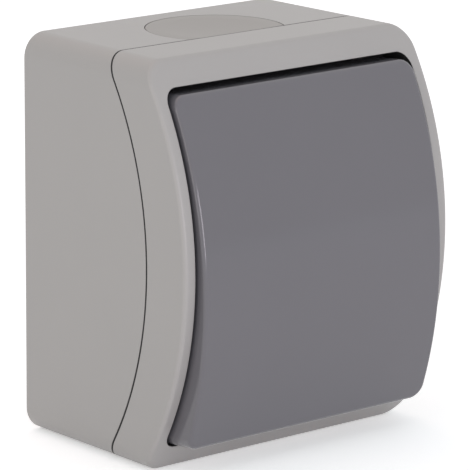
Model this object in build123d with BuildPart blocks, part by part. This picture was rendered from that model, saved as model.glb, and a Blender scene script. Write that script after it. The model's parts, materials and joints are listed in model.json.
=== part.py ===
from build123d import *
import math
import os

# Surface mounted light switch with one rocker.
# X points right, the room is towards -Y and Z is up. The origin is the middle of the
# back face, which lies on the wall. Depths count from the wall towards the room, so a
# depth of 10 lies at Y = -10. The switch is shown with the top of its rocker pressed.

# Back box
wall_width = 66.0
body_height = 80.1
body_corner = 4.8
side_draft = 1.2
box_wall = 2.4
rear_wall = 2.6
blank_depth = 60.0

# Arched joint between the back box and the front cover
parting_mid = 39.2
parting_radius = 66.2
joint_gap = 0.3

# Gasket that lies in the rim of the back box
gasket_inset = 0.6
gasket_width = 1.2
gasket_groove = 0.9
gasket_clearance = 0.03

# Front cover
cover_proud = 0.12
cover_start = 20.0
cover_front_inset = 0.15
cover_depth = 10.9
front_radius = 68.8
front_edge = 0.6
side_border = 2.74
end_border = 5.06
opening_corner = 3.0
opening_edge = 0.25
cover_front_wall = 2.0
end_wall = 1.7
end_pocket_width = 52.0
web_offset = 0.7
web_thickness = 1.8
window_clearance = 3.0

# Screws that hold the cover
cover_screw_inset = 6.1
cover_boss_wall = 1.3
cover_boss_rise = 4.1
cover_boss_gap = 0.1
cover_floor = 1.7

# Cable entries, one in the top wall and one in the bottom wall
entry_setback = 7.0
entry_rear_land = 4.9
entry_recess = 1.1
entry_flange = 1.6
entry_clearance = 0.12
entry_lip_reach = 1.2
entry_cup_share = 0.42
entry_lip = 1.2
dish_margin = 2.4
dish_depth = 0.55
membrane = 0.9

# Fixing to the wall
wall_hole_inset = 10.05
wall_hole_radius = 2.25
wall_collar_wall = 2.3
wall_collar_height = 1.8

# Screws and the bosses that take them
boss_wall = 2.0
rib_thickness = 1.6
shank_radius = 1.5
shank_clearance = 0.06
screw_pass_clearance = 0.4
thread_depth = 12.0
tip_clearance = 1.0
head_radius = 3.0
head_height = 2.0
head_clearance = 0.3
recess_depth = 1.2

# Rocker key, with heights measured from its pivot towards the room
pivot_setback = 7.1
rocker_throw = 8.0
key_side_gap = 0.66
key_top_gap = 1.2
key_bottom_gap = 0.6
key_corner = 2.8
key_crest = 9.0
key_radius = 83.5
key_edge = 0.5
key_front_wall = 2.0
key_skirt = 1.6
key_reach = 14.0
rim_gap = 1.6
rim_extra_radius = 17.3
socket_wall = 1.4
socket_rear = 1.6
latch_x = 8.0
latch_width = 5.0
latch_reach = 0.6
latch_height = 0.9
key_rib = 1.2
key_rib_depth = 2.0
key_rib_insets = (7.0, 13.0)

# Cradle that carries the key
cradle_margin = 0.2
cradle_height = 27.0
cradle_front = 5.4
cradle_thickness = 1.7
cradle_corner = 1.0
fit_clearance = 0.1
cheek_thickness = 1.8
cheek_wall = 1.1
cheek_foot = 9.0
trunnion_radius = 1.5
running_clearance = 0.06
side_clearance = 0.3
tube_wall = 1.2
tube_end = 6.5

# Spring loaded plunger inside the cradle
plunger_radius = 2.0
plunger_clearance = 0.08
plunger_back = 3.0
plunger_shoulder = 10.5
plunger_tip_radius = 1.2
plunger_gap = 0.25
spring_wire = 0.25
spring_clearance = 0.15
spring_pitch = 2.4

# Mechanism base
mechanism_width = 38.0
mechanism_height = 42.0
mechanism_corner = 2.0
mechanism_rear = 12.0
lug_width = 9.0
lug_thickness = 3.0
lug_inset = 8.5
lug_thread_depth = 8.5
well_depth = 15.0
well_side_clearance = 1.5
well_end_clearance = 2.5

# Bearing plate on the mechanism base
plate_thickness = 1.6
plate_inset = 0.2
ear_inner = 9.6
ear_thickness = 3.0
ear_wall = 1.4
ear_height = 4.4
ear_foot = 10.0
tube_slot_corner = 1.0
tube_slot_side = 0.6
tube_slot_end = 1.2
snap_z = 12.5
snap_width = 7.0
snap_thickness = 1.2
snap_length = 8.0
snap_gap = 0.1
snap_bar = 1.2
snap_root = 1.0
snap_window_width = 3.2
snap_window_height = 2.8
catch_height = 0.8

# Current path
strip_thickness = 0.8
strip_width = 5.0
strip_clearance = 0.2
fulcrum_rise = 3.2
fulcrum_radius = 0.5
fulcrum_width = 3.6
contact_throw = 10.0
contact_length = 20.0
contact_cheek = 8.0
contact_cheek_drop = 1.6
contact_reach = 8.5
contact_radius = 1.5
contact_corner = 1.2
contact_land = 1.0
moving_contact_height = 2.0
contact_gap = 0.3
stop_gap = 0.4
stop_width = 3.0

# Terminals
terminal_inset_x = 6.5
terminal_inset_z = 9.0
terminal_width = 7.0
terminal_length = 9.0
terminal_height = 7.2
terminal_clearance = 0.15
wire_radius = 1.9
wire_clearance = 0.3
terminal_head_radius = 2.6
terminal_access_clearance = 0.8
terminal_chamfer = 0.6

# Sizes that follow from the driving dimensions
draft_slope = math.tan(math.radians(side_draft))
blank_width = wall_width + 2 * blank_depth * draft_slope
body_top = body_height / 2
parting_end = math.sqrt(parting_radius**2 - body_top**2) - (parting_radius - parting_mid)
rim_width = wall_width + 2 * parting_end * draft_slope
front_mid = parting_mid + cover_depth
cover_width = wall_width + 2 * (parting_mid * draft_slope + cover_proud)
cover_height = body_height + 2 * cover_proud
opening_width = cover_width - 2 * side_border
opening_height = cover_height - 2 * end_border
entry_depth = parting_end - entry_setback
entry_disc_radius = entry_depth - entry_rear_land
entry_hole_radius = entry_disc_radius - entry_flange
entry_lip_radius = entry_hole_radius + entry_lip_reach
entry_cup_radius = entry_cup_share * entry_hole_radius
dish_radius = entry_disc_radius - dish_margin
wall_hole_spacing = body_height - 2 * wall_hole_inset
wall_collar_radius = wall_hole_radius + wall_collar_wall
hole_radius = shank_radius + shank_clearance
boss_radius = hole_radius + boss_wall
screw_pass_radius = shank_radius + screw_pass_clearance
cover_screw_x = opening_width / 2 - cover_screw_inset
cover_screw_z = opening_height / 2 - cover_screw_inset
cover_boss_radius = head_radius + head_clearance + cover_boss_wall
cover_boss_joint = parting_end + cover_boss_rise
cover_seat = cover_boss_joint + cover_boss_gap + cover_floor
web_radius = parting_radius + joint_gap + web_offset
web_mid = parting_mid + joint_gap + web_offset
pivot_depth = front_mid - pivot_setback
rim_mid = web_mid + web_thickness + rim_gap - pivot_depth
rim_radius = web_radius + web_thickness + rim_extra_radius
key_width = opening_width - 2 * key_side_gap
key_height = opening_height - key_top_gap - key_bottom_gap
key_drop = (key_top_gap - key_bottom_gap) / 2
ear_radius = trunnion_radius + running_clearance + ear_wall
cheek_radius = trunnion_radius + cheek_wall
cheek_inner = ear_inner + ear_thickness + side_clearance
cradle_width = 2 * (cheek_inner + cheek_thickness + cradle_margin)
cradle_rear = cradle_front - cradle_thickness
socket_width = cradle_width + 2 * fit_clearance
socket_height = cradle_height + 2 * fit_clearance
tube_radius = plunger_radius + plunger_clearance + tube_wall
spring_radius = plunger_radius - spring_clearance - spring_wire
plate_front = pivot_depth - ear_height
mechanism_front = plate_front - plate_thickness
lug_screw_x = wall_width / 2 - lug_inset
strip_floor = mechanism_front - well_depth
strip_front = strip_floor + strip_thickness
fulcrum_depth = strip_front + fulcrum_rise
contact_rear = fulcrum_radius + contact_gap
contact_front = contact_rear + strip_thickness
contact_cheek_inner = fulcrum_width / 2 + contact_gap
contact_width = 2 * (contact_cheek_inner + strip_thickness)
plunger_reach = pivot_depth - fulcrum_depth - contact_front - plunger_gap
well_width = contact_width + 2 * well_side_clearance
well_height = contact_length + 2 * well_end_clearance
terminal_x = mechanism_width / 2 - terminal_inset_x
terminal_z = mechanism_height / 2 - terminal_inset_z
terminal_front = strip_front + terminal_height
terminal_access_radius = terminal_head_radius + terminal_access_clearance
wire_depth = strip_front + terminal_height / 2


def depth_plane(depth):
    """Plane parallel to the wall, facing the room."""
    return Plane.XZ.offset(depth)


def tilted_plane(depth, angle):
    """Plane through a pivot at a depth, with its front turned up by an angle."""
    turn = math.radians(angle)
    return Plane((0, -depth, 0), x_dir=(1, 0, 0), z_dir=(0, -math.cos(turn), math.sin(turn)))


def side_plane(front):
    """Plane across the switch through a pivot: x runs rearwards and y upwards."""
    return Plane(front.origin, x_dir=-front.z_dir, z_dir=(1, 0, 0))


def arch(radius, mid_depth):
    """Circle of a surface that is arched from top to bottom, drawn from the side."""
    with Locations((radius - mid_depth, 0)):
        Circle(radius)


def tapered_block(rear, front, rear_width, front_width, height, corner):
    """Block between two depths whose sides run straight from one width to another."""
    with BuildPart() as block:
        with BuildSketch(Plane.XY):
            Polygon(
                (-rear_width / 2, -rear),
                (rear_width / 2, -rear),
                (front_width / 2, -front),
                (-front_width / 2, -front),
                align=None,
            )
        extrude(amount=height / 2, both=True)
        fillet(block.edges().group_by(Axis.Y)[1], corner)
    return block.part


def export(part, name):
    """Label a finished piece and write it."""
    part.label = name
    export_step(part, f"parts/{name}.step")


def pan_head_screw(seat, length, head):
    """Cross recessed screw whose head rests on the seat plane."""
    with BuildPart() as screw:
        with BuildSketch(seat):
            Circle(head)
        extrude(amount=head_height)
        rim = screw.edges().sort_by(Axis(seat.origin, seat.z_dir))[-1]
        chamfer(rim, head_height / 3)
        with BuildSketch(seat):
            Circle(shank_radius)
        extrude(amount=-length)
        tip = screw.edges().sort_by(Axis(seat.origin, seat.z_dir))[0]
        chamfer(tip, shank_radius / 3)
        with BuildSketch(seat.offset(head_height - recess_depth)):
            Rectangle(head, head / 4)
            Rectangle(head / 4, head)
        extrude(amount=recess_depth, mode=Mode.SUBTRACT)
    return screw.part


os.makedirs("parts", exist_ok=True)
key_front = tilted_plane(pivot_depth, rocker_throw / 2)
key_side = side_plane(key_front)
contact_plane = tilted_plane(fulcrum_depth, -contact_throw / 2)
cover_screw_places = [
    (x, z) for z in (cover_screw_z, -cover_screw_z) for x in (-cover_screw_x, cover_screw_x)
]
lug_screw_places = [(-lug_screw_x, 0), (lug_screw_x, 0)]
terminal_places = {"common": (-terminal_x, terminal_z), "load": (terminal_x, -terminal_z)}
entry_sides = {"top": 1, "bottom": -1}

# Gasket: a ring of constant outline between two arches, seated in a groove of the rim
gasket_outer = (rim_width - 2 * gasket_inset, body_height - 2 * gasket_inset)
gasket_inner = (gasket_outer[0] - 2 * gasket_width, gasket_outer[1] - 2 * gasket_width)


def gasket_ring(grow, top_grow):
    """Ring in the rim of the back box, grown for the groove that holds it."""
    with BuildPart() as ring:
        with BuildSketch(depth_plane(0)):
            RectangleRounded(
                gasket_outer[0] + 2 * grow, gasket_outer[1] + 2 * grow, body_corner - gasket_inset + grow
            )
            RectangleRounded(
                gasket_inner[0] - 2 * grow,
                gasket_inner[1] - 2 * grow,
                body_corner - gasket_inset - gasket_width - grow,
                mode=Mode.SUBTRACT,
            )
        extrude(amount=blank_depth)
        with BuildSketch(Plane.YZ):
            arch(parting_radius + top_grow, parting_mid + top_grow)
        extrude(amount=blank_width, both=True, mode=Mode.INTERSECT)
        with BuildSketch(Plane.YZ):
            arch(parting_radius - gasket_groove, parting_mid - gasket_groove)
        extrude(amount=blank_width, both=True, mode=Mode.SUBTRACT)
    return ring.part


cover_gasket = gasket_ring(0, joint_gap - gasket_clearance)
gasket_space = gasket_ring(gasket_clearance, blank_depth / 2)
export(cover_gasket, "cover_gasket")

# Back box: a drafted tub with an arched rim
with BuildPart() as back_box:
    add(tapered_block(0, blank_depth, wall_width, blank_width, body_height, body_corner))
    hollow_width = wall_width + 2 * (rear_wall * draft_slope - box_wall)
    hollow = tapered_block(
        rear_wall,
        blank_depth,
        hollow_width,
        blank_width - 2 * box_wall,
        body_height - 2 * box_wall,
        body_corner - box_wall,
    )
    add(hollow, mode=Mode.SUBTRACT)
    # Bosses for the cover screws, each tied to the side wall by a rib
    with BuildSketch(depth_plane(rear_wall)):
        with Locations(cover_screw_places):
            Circle(boss_radius)
        for x, z in cover_screw_places:
            with Locations((math.copysign((cover_screw_x + wall_width / 2 - box_wall / 2) / 2, x), z)):
                Rectangle(wall_width / 2 - box_wall / 2 - cover_screw_x, rib_thickness)
    extrude(amount=cover_boss_joint - rear_wall)
    # Bosses for the mechanism and collars around the wall screws
    with BuildSketch(depth_plane(rear_wall)):
        with Locations(lug_screw_places):
            Circle(boss_radius)
    extrude(amount=mechanism_rear - rear_wall)
    with BuildSketch(depth_plane(rear_wall)):
        with GridLocations(0, wall_hole_spacing, 1, 2):
            Circle(wall_collar_radius)
    extrude(amount=wall_collar_height)
    with BuildSketch(depth_plane(cover_boss_joint)):
        with Locations(cover_screw_places):
            Circle(hole_radius)
    extrude(amount=-thread_depth, mode=Mode.SUBTRACT)
    with BuildSketch(depth_plane(mechanism_rear)):
        with Locations(lug_screw_places):
            Circle(hole_radius)
    extrude(amount=-lug_thread_depth, mode=Mode.SUBTRACT)
    with BuildSketch(depth_plane(0)):
        with GridLocations(0, wall_hole_spacing, 1, 2):
            Circle(wall_hole_radius)
    extrude(amount=rear_wall + wall_collar_height, mode=Mode.SUBTRACT)
    # Arched rim with its gasket groove
    with BuildSketch(Plane.YZ):
        arch(parting_radius, parting_mid)
    extrude(amount=blank_width, both=True, mode=Mode.INTERSECT)
    add(gasket_space, mode=Mode.SUBTRACT)
    # Cable entries, open towards the rim so that the soft discs slide in from the front
    for side in entry_sides.values():
        entry = Plane((0, -entry_depth, side * body_top), x_dir=(1, 0, 0), z_dir=(0, 0, side))
        with BuildSketch(entry):
            Circle(entry_disc_radius + entry_clearance)
        extrude(amount=-entry_recess, mode=Mode.SUBTRACT)
        with BuildSketch(entry):
            Circle(entry_hole_radius)
        extrude(amount=-box_wall, mode=Mode.SUBTRACT)
export(back_box.part, "back_box")

# Entry discs: soft membranes that grip the wall and end at the front cover
for name, side in entry_sides.items():
    with BuildPart() as entry_disc:
        profile_plane = Plane((0, -entry_depth, side * body_top), x_dir=(1, 0, 0), z_dir=(0, -side, 0))
        with BuildSketch(profile_plane):
            with BuildLine():
                TangentArc((0, -dish_depth), (dish_radius, 0), tangent=(1, 0))
                Polyline(
                    (dish_radius, 0),
                    (entry_disc_radius, 0),
                    (entry_disc_radius, entry_clearance - entry_recess),
                    (entry_hole_radius - entry_clearance, entry_clearance - entry_recess),
                    (entry_hole_radius - entry_clearance, -box_wall - entry_clearance),
                    (entry_lip_radius, -box_wall - entry_clearance),
                    (entry_cup_radius + entry_lip, -box_wall - entry_clearance - entry_lip),
                    (entry_cup_radius, -box_wall - entry_clearance - entry_lip),
                    (entry_cup_radius, -dish_depth - membrane),
                    (0, -dish_depth - membrane),
                    (0, -dish_depth),
                )
            make_face()
        revolve(axis=Axis(profile_plane.origin, profile_plane.y_dir))
        with BuildSketch(Plane.YZ):
            arch(parting_radius + joint_gap - gasket_clearance, parting_mid + joint_gap - gasket_clearance)
        extrude(amount=blank_width, both=True, mode=Mode.INTERSECT)
        add(gasket_space, mode=Mode.SUBTRACT)
    export(entry_disc.part, f"{name}_entry_disc")

# Web of the front cover: an arched plate behind the rocker with the screw bosses
with BuildPart() as cover_web:
    with BuildSketch(depth_plane(cover_boss_joint + cover_boss_gap)):
        Rectangle(opening_width + end_wall, opening_height + end_wall)
    extrude(amount=blank_depth - cover_boss_joint)
    with BuildSketch(Plane.YZ):
        arch(web_radius, web_mid)
    extrude(amount=blank_width, both=True, mode=Mode.SUBTRACT)
    with BuildSketch(depth_plane(cover_boss_joint + cover_boss_gap)):
        with Locations(cover_screw_places):
            Circle(cover_boss_radius)
    extrude(amount=front_mid - cover_boss_joint)
    with BuildSketch(Plane.YZ):
        arch(web_radius + web_thickness, web_mid + web_thickness)
    extrude(amount=blank_width, both=True, mode=Mode.INTERSECT)
    with BuildSketch(depth_plane(cover_boss_joint)):
        RectangleRounded(
            mechanism_width + 2 * window_clearance, mechanism_height + 2 * window_clearance, opening_corner
        )
    extrude(amount=blank_depth, mode=Mode.SUBTRACT)

# Pockets that keep the ends of the cover from being solid
with BuildPart() as end_pockets:
    pocket_height = body_top - opening_height / 2 - 2 * end_wall
    with BuildSketch(depth_plane(cover_start)):
        with GridLocations(0, opening_height + 2 * end_wall + pocket_height, 1, 2):
            Rectangle(end_pocket_width, pocket_height)
    extrude(amount=blank_depth)
    with BuildSketch(Plane.YZ):
        arch(front_radius - cover_front_wall, front_mid - cover_front_wall)
    extrude(amount=blank_width, both=True, mode=Mode.INTERSECT)

# Front cover: an arched frame around the rocker
with BuildPart() as front_cover:
    cover_front_width = cover_width - 2 * cover_front_inset
    add(tapered_block(cover_start, blank_depth, cover_width, cover_front_width, cover_height, body_corner))
    with BuildSketch(Plane.YZ):
        arch(front_radius, front_mid)
    extrude(amount=blank_width, both=True, mode=Mode.INTERSECT)
    fillet(front_cover.faces().sort_by(Axis.Y)[0].edges(), front_edge)
    with BuildSketch(Plane.YZ):
        arch(parting_radius + joint_gap, parting_mid + joint_gap)
    extrude(amount=blank_width, both=True, mode=Mode.SUBTRACT)
    with BuildSketch(depth_plane(0)):
        RectangleRounded(opening_width, opening_height, opening_corner)
    extrude(amount=blank_depth, mode=Mode.SUBTRACT)
    fillet(front_cover.faces().sort_by(Axis.Y)[0].inner_wires().edges(), opening_edge)
    add(end_pockets.part, mode=Mode.SUBTRACT)
    add(cover_web.part)
    with BuildSketch(depth_plane(cover_boss_joint)):
        with Locations(cover_screw_places):
            Circle(screw_pass_radius)
    extrude(amount=blank_depth, mode=Mode.SUBTRACT)
    with BuildSketch(depth_plane(cover_seat)):
        with Locations(cover_screw_places):
            Circle(head_radius + head_clearance)
    extrude(amount=blank_depth, mode=Mode.SUBTRACT)
export(front_cover.part, "front_cover")

for number, (x, z) in enumerate(cover_screw_places, start=1):
    seat = Plane((x, -cover_seat, z), x_dir=(1, 0, 0), z_dir=(0, -1, 0))
    screw_length = cover_seat - cover_boss_joint + thread_depth - tip_clearance
    export(pan_head_screw(seat, screw_length, head_radius), f"cover_screw_{number}")

# Hollow of the rocker key, cut back from its arched front
with BuildPart() as key_hollow:
    with BuildSketch(key_front.offset(-key_reach)):
        with Locations((0, -key_drop)):
            RectangleRounded(key_width - 2 * key_skirt, key_height - 2 * key_skirt, key_corner - key_skirt)
    extrude(amount=2 * key_reach)
    with BuildSketch(key_side):
        arch(key_radius - key_front_wall, key_crest - key_front_wall)
    extrude(amount=key_width, both=True, mode=Mode.INTERSECT)

# Socket walls around the cradle and cross ribs, both rooted in the arched front
with BuildPart() as key_stiffeners:
    with BuildSketch(key_front.offset(socket_rear)):
        Rectangle(socket_width + 2 * socket_wall, socket_height + 2 * socket_wall)
        Rectangle(socket_width, socket_height, mode=Mode.SUBTRACT)
    extrude(amount=key_crest - socket_rear)
    for inset in key_rib_insets:
        place = key_height / 2 - inset
        sag = key_radius - math.sqrt(key_radius**2 - place**2)
        with BuildSketch(key_front.offset(key_crest - sag - key_front_wall - key_rib_depth)):
            with GridLocations(0, 2 * place, 1, 2):
                Rectangle(key_width - key_skirt, key_rib)
        extrude(amount=key_crest)
    with BuildSketch(key_side):
        arch(key_radius - key_front_wall / 2, key_crest - key_front_wall / 2)
    extrude(amount=key_width, both=True, mode=Mode.INTERSECT)

# Rocker key: an arched shell with a socket for the cradle
with BuildPart() as rocker_key:
    with BuildSketch(key_front.offset(-key_reach)):
        with Locations((0, -key_drop)):
            RectangleRounded(key_width, key_height, key_corner)
    extrude(amount=2 * key_reach)
    with BuildSketch(key_side):
        arch(key_radius, key_crest)
    extrude(amount=key_width, both=True, mode=Mode.INTERSECT)
    front_axis = Axis(key_front.origin, key_front.z_dir)
    fillet(rocker_key.faces().sort_by(front_axis)[-1].edges(), key_edge)
    with BuildSketch(key_side):
        arch(rim_radius, rim_mid)
    extrude(amount=key_width, both=True, mode=Mode.SUBTRACT)
    add(key_hollow.part, mode=Mode.SUBTRACT)
    add(key_stiffeners.part)
    # Latches that reach behind the plate of the cradle
    with BuildSketch(key_front.offset(cradle_front - cradle_thickness - fit_clearance)):
        with GridLocations(2 * latch_x, socket_height - latch_reach, 2, 2):
            Rectangle(latch_width, latch_reach)
    extrude(amount=-latch_height)
export(rocker_key.part, "rocker_key")

# Cradle: a plate with two cheeks on trunnions and a tube for the plunger
with BuildPart() as rocker_cradle:
    with BuildSketch(key_front.offset(cradle_rear)):
        RectangleRounded(cradle_width, cradle_height, cradle_corner)
    extrude(amount=cradle_thickness)
    with BuildSketch(key_front.offset(-tube_end)):
        Circle(tube_radius)
    extrude(amount=tube_end + cradle_rear)
    for direction in (1, -1):
        with BuildSketch(key_side.offset(direction * cheek_inner)):
            Circle(cheek_radius)
            Polygon(
                (0, -cheek_radius),
                (0, cheek_radius),
                (-cradle_rear, cheek_foot / 2),
                (-cradle_rear, -cheek_foot / 2),
                align=None,
            )
        extrude(amount=direction * cheek_thickness)
        with BuildSketch(key_side.offset(direction * (ear_inner + side_clearance))):
            Circle(trunnion_radius)
        extrude(amount=direction * (ear_thickness + side_clearance))
    with BuildSketch(key_front.offset(-tube_end)):
        Circle(plunger_radius + plunger_clearance)
    extrude(amount=tube_end + cradle_rear + cradle_thickness / 2, mode=Mode.SUBTRACT)
export(rocker_cradle.part, "rocker_cradle")

# Plunger and its spring
tip_edge = (plunger_reach - plunger_tip_radius, plunger_tip_radius)
with BuildPart() as plunger:
    with BuildSketch(key_side):
        with BuildLine():
            Polyline(
                (plunger_reach, 0),
                (plunger_back, 0),
                (plunger_back, plunger_radius),
                (plunger_shoulder, plunger_radius),
                tip_edge,
            )
            RadiusArc(tip_edge, (plunger_reach, 0), plunger_tip_radius)
        make_face()
    revolve(axis=Axis(key_side.origin, key_side.x_dir))
export(plunger.part, "plunger")

spring_front = cradle_rear + cradle_thickness / 2 - spring_wire - plunger_clearance
spring_rear = -plunger_back + spring_wire + plunger_clearance
with BuildPart() as plunger_spring:
    with BuildLine() as coil:
        Helix(
            spring_pitch,
            spring_front - spring_rear,
            spring_radius,
            center=key_front.offset(spring_rear).origin,
            direction=key_front.z_dir,
        )
    with BuildSketch(Plane(coil.line @ 0, z_dir=coil.line % 0)):
        Circle(spring_wire)
    sweep()
export(plunger_spring.part, "plunger_spring")

# Mechanism base: a moulded block with a well for the contacts and two terminal pockets
well_end = well_height / 2
with BuildPart() as mechanism_base:
    with BuildSketch(depth_plane(mechanism_rear)):
        RectangleRounded(mechanism_width, mechanism_height, mechanism_corner)
    extrude(amount=mechanism_front - mechanism_rear)
    with BuildSketch(depth_plane(mechanism_rear)):
        SlotCenterToCenter(2 * lug_screw_x, lug_width)
    extrude(amount=lug_thickness)
    with BuildSketch(depth_plane(strip_floor)):
        Rectangle(well_width, well_height)
        for x, z in terminal_places.values():
            with Locations((x, z)):
                Rectangle(terminal_width + 2 * terminal_clearance, terminal_length + 2 * terminal_clearance)
    extrude(amount=mechanism_front - strip_floor, mode=Mode.SUBTRACT)
    # Channels that let the strips run from the terminals into the well
    with BuildSketch(depth_plane(strip_floor)):
        with Locations((-terminal_x / 2, 0)):
            Rectangle(terminal_x + strip_width + 2 * strip_clearance, strip_width + 2 * strip_clearance)
        with Locations((-terminal_x, terminal_z / 2)):
            Rectangle(strip_width + 2 * strip_clearance, terminal_z)
        with Locations((0, -contact_reach)):
            Rectangle(
                terminal_x + terminal_width / 2 + strip_clearance,
                strip_width + 2 * strip_clearance,
                align=(Align.MIN, Align.CENTER),
            )
    extrude(amount=strip_thickness + contact_gap, mode=Mode.SUBTRACT)
    # Stop for the free end of the contact rocker
    stop_depth = fulcrum_depth - stop_gap
    with BuildSketch(depth_plane(strip_floor)):
        with Locations((0, well_end - stop_width)):
            Rectangle(well_width, stop_width)
    extrude(amount=stop_depth - strip_floor)
    # Catches for the bearing plate
    for direction in (1, -1):
        for z in (snap_z, -snap_z):
            with BuildSketch(Plane.XY.offset(z - snap_window_width / 2 + snap_gap)):
                with BuildLine():
                    root = mechanism_front - snap_length + snap_bar + plate_thickness + snap_gap
                    edge = direction * mechanism_width / 2
                    Polyline(
                        (edge, -root),
                        (edge + direction * catch_height, -root),
                        (edge, -root - snap_window_height + 2 * snap_gap),
                        (edge, -root),
                    )
                make_face()
            extrude(amount=snap_window_width - 2 * snap_gap)
    # Wire entries and screw holes
    for direction, (x, z) in zip((1, -1), terminal_places.values()):
        with BuildSketch(Plane((x, -wire_depth, z), x_dir=(1, 0, 0), z_dir=(0, 0, direction))):
            Circle(wire_radius + wire_clearance)
        extrude(amount=mechanism_height / 2, mode=Mode.SUBTRACT)
    with BuildSketch(depth_plane(mechanism_rear)):
        with Locations(lug_screw_places):
            Circle(screw_pass_radius)
    extrude(amount=lug_thickness, mode=Mode.SUBTRACT)
export(mechanism_base.part, "mechanism_base")

for number, (x, z) in enumerate(lug_screw_places, start=1):
    seat = Plane((x, -mechanism_rear - lug_thickness, z), x_dir=(1, 0, 0), z_dir=(0, -1, 0))
    screw_length = lug_thickness + lug_thread_depth - tip_clearance
    export(pan_head_screw(seat, screw_length, head_radius), f"mechanism_screw_{number}")

# Bearing plate: closes the well and carries the pivot of the rocker
with BuildPart() as bearing_plate:
    with BuildSketch(depth_plane(mechanism_front)):
        RectangleRounded(
            mechanism_width - 2 * plate_inset, mechanism_height - 2 * plate_inset, mechanism_corner
        )
        RectangleRounded(
            2 * (tube_radius + tube_slot_side),
            2 * (tube_radius + tube_slot_end),
            tube_slot_corner,
            mode=Mode.SUBTRACT,
        )
        with Locations(list(terminal_places.values())):
            Circle(terminal_access_radius, mode=Mode.SUBTRACT)
    extrude(amount=plate_thickness)
    for direction in (1, -1):
        with BuildSketch(Plane.YZ.offset(direction * ear_inner)):
            Polygon(
                (-plate_front, -ear_foot / 2),
                (-plate_front, ear_foot / 2),
                (-pivot_depth, ear_radius),
                (-pivot_depth, -ear_radius),
                align=None,
            )
            with Locations((-pivot_depth, 0)):
                Circle(ear_radius)
                Circle(trunnion_radius + running_clearance, mode=Mode.SUBTRACT)
        extrude(amount=direction * ear_thickness)
        leg_root = mechanism_width / 2 - snap_root
        leg_inner = mechanism_width / 2 + snap_gap
        leg_outer = leg_inner + snap_thickness
        leg_end = plate_front - snap_length
        for z in (snap_z, -snap_z):
            with BuildSketch(Plane.XY.offset(z - snap_width / 2)):
                Polygon(
                    (direction * leg_root, -plate_front),
                    (direction * leg_outer, -plate_front),
                    (direction * leg_outer, -leg_end),
                    (direction * leg_inner, -leg_end),
                    (direction * leg_inner, -mechanism_front),
                    (direction * leg_root, -mechanism_front),
                    align=None,
                )
            extrude(amount=snap_width)
        with BuildSketch(Plane.YZ.offset(direction * leg_inner)):
            with Locations((-leg_end - snap_bar - snap_window_height / 2, 0)):
                with GridLocations(0, 2 * snap_z, 1, 2):
                    Rectangle(snap_window_height, snap_window_width)
        extrude(amount=direction * snap_thickness, mode=Mode.SUBTRACT)
export(bearing_plate.part, "bearing_plate")

# Common strip: from its terminal to the fulcrum of the contact rocker
with BuildPart() as common_strip:
    with BuildSketch(depth_plane(strip_floor)):
        with Locations((-terminal_x / 2, 0)):
            Rectangle(terminal_x + strip_width, strip_width)
        with Locations((-terminal_x, terminal_z / 2 + terminal_length / 4)):
            Rectangle(strip_width, terminal_z + terminal_length / 2)
    extrude(amount=strip_thickness)
    with BuildSketch(Plane.YZ):
        with Locations((-(strip_floor + fulcrum_depth) / 2, 0)):
            Rectangle(fulcrum_depth - strip_floor, 2 * fulcrum_radius)
        with Locations((-fulcrum_depth, 0)):
            Circle(fulcrum_radius)
    extrude(amount=fulcrum_width / 2, both=True)
export(common_strip.part, "common_strip")

# Load strip with its fixed contact
load_strip_left = -contact_radius - contact_land
load_strip_length = terminal_x + terminal_width / 2 - load_strip_left
with BuildPart() as load_strip:
    with BuildSketch(depth_plane(strip_floor)):
        with Locations((load_strip_left, -contact_reach)):
            Rectangle(load_strip_length, strip_width, align=(Align.MIN, Align.CENTER))
    extrude(amount=strip_thickness)
export(load_strip.part, "load_strip")

swing = math.radians(contact_throw / 2)
moving_contact_rear = moving_contact_height - contact_rear
fixed_contact_front = (
    fulcrum_depth
    - moving_contact_rear * math.cos(swing)
    - (contact_reach + contact_radius) * math.sin(swing)
    - contact_gap
)
with BuildPart() as fixed_contact:
    with BuildSketch(depth_plane(strip_front)):
        with Locations((0, -contact_reach)):
            Circle(contact_radius)
    extrude(amount=fixed_contact_front - strip_front)
export(fixed_contact.part, "fixed_contact")

# Contact rocker: a folded strip that tips over the fulcrum
with BuildPart() as contact_rocker:
    with BuildSketch(contact_plane.offset(contact_rear)):
        RectangleRounded(contact_width, contact_length, contact_corner)
    extrude(amount=strip_thickness)
    with BuildSketch(contact_plane.offset(contact_rear)):
        with GridLocations(2 * contact_cheek_inner + strip_thickness, 0, 2, 1):
            Rectangle(strip_thickness, contact_cheek)
    extrude(amount=-contact_cheek_drop)
export(contact_rocker.part, "contact_rocker")

with BuildPart() as moving_contact:
    with BuildSketch(contact_plane.offset(contact_rear)):
        with Locations((0, -contact_reach)):
            Circle(contact_radius)
    extrude(amount=-moving_contact_height)
export(moving_contact.part, "moving_contact")

# Terminals: drilled blocks with a clamping screw from the front
for name, (x, z) in terminal_places.items():
    with BuildPart() as terminal_block:
        with BuildSketch(depth_plane(strip_front)):
            with Locations((x, z)):
                Rectangle(terminal_width, terminal_length)
        extrude(amount=terminal_height)
        chamfer(terminal_block.edges().filter_by(Axis.Z), terminal_chamfer)
        wire_mouth = Plane((x, -wire_depth, z - terminal_length / 2), x_dir=(1, 0, 0), z_dir=(0, 0, 1))
        with BuildSketch(wire_mouth):
            Circle(wire_radius)
        extrude(amount=terminal_length, mode=Mode.SUBTRACT)
        with BuildSketch(depth_plane(wire_depth)):
            with Locations((x, z)):
                Circle(hole_radius)
        extrude(amount=terminal_height, mode=Mode.SUBTRACT)
    export(terminal_block.part, f"{name}_terminal")
    seat = Plane((x, -terminal_front - contact_gap, z), x_dir=(1, 0, 0), z_dir=(0, -1, 0))
    screw_length = terminal_height / 2 - wire_radius + contact_gap
    export(pan_head_screw(seat, screw_length, terminal_head_radius), f"{name}_terminal_screw")
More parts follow.
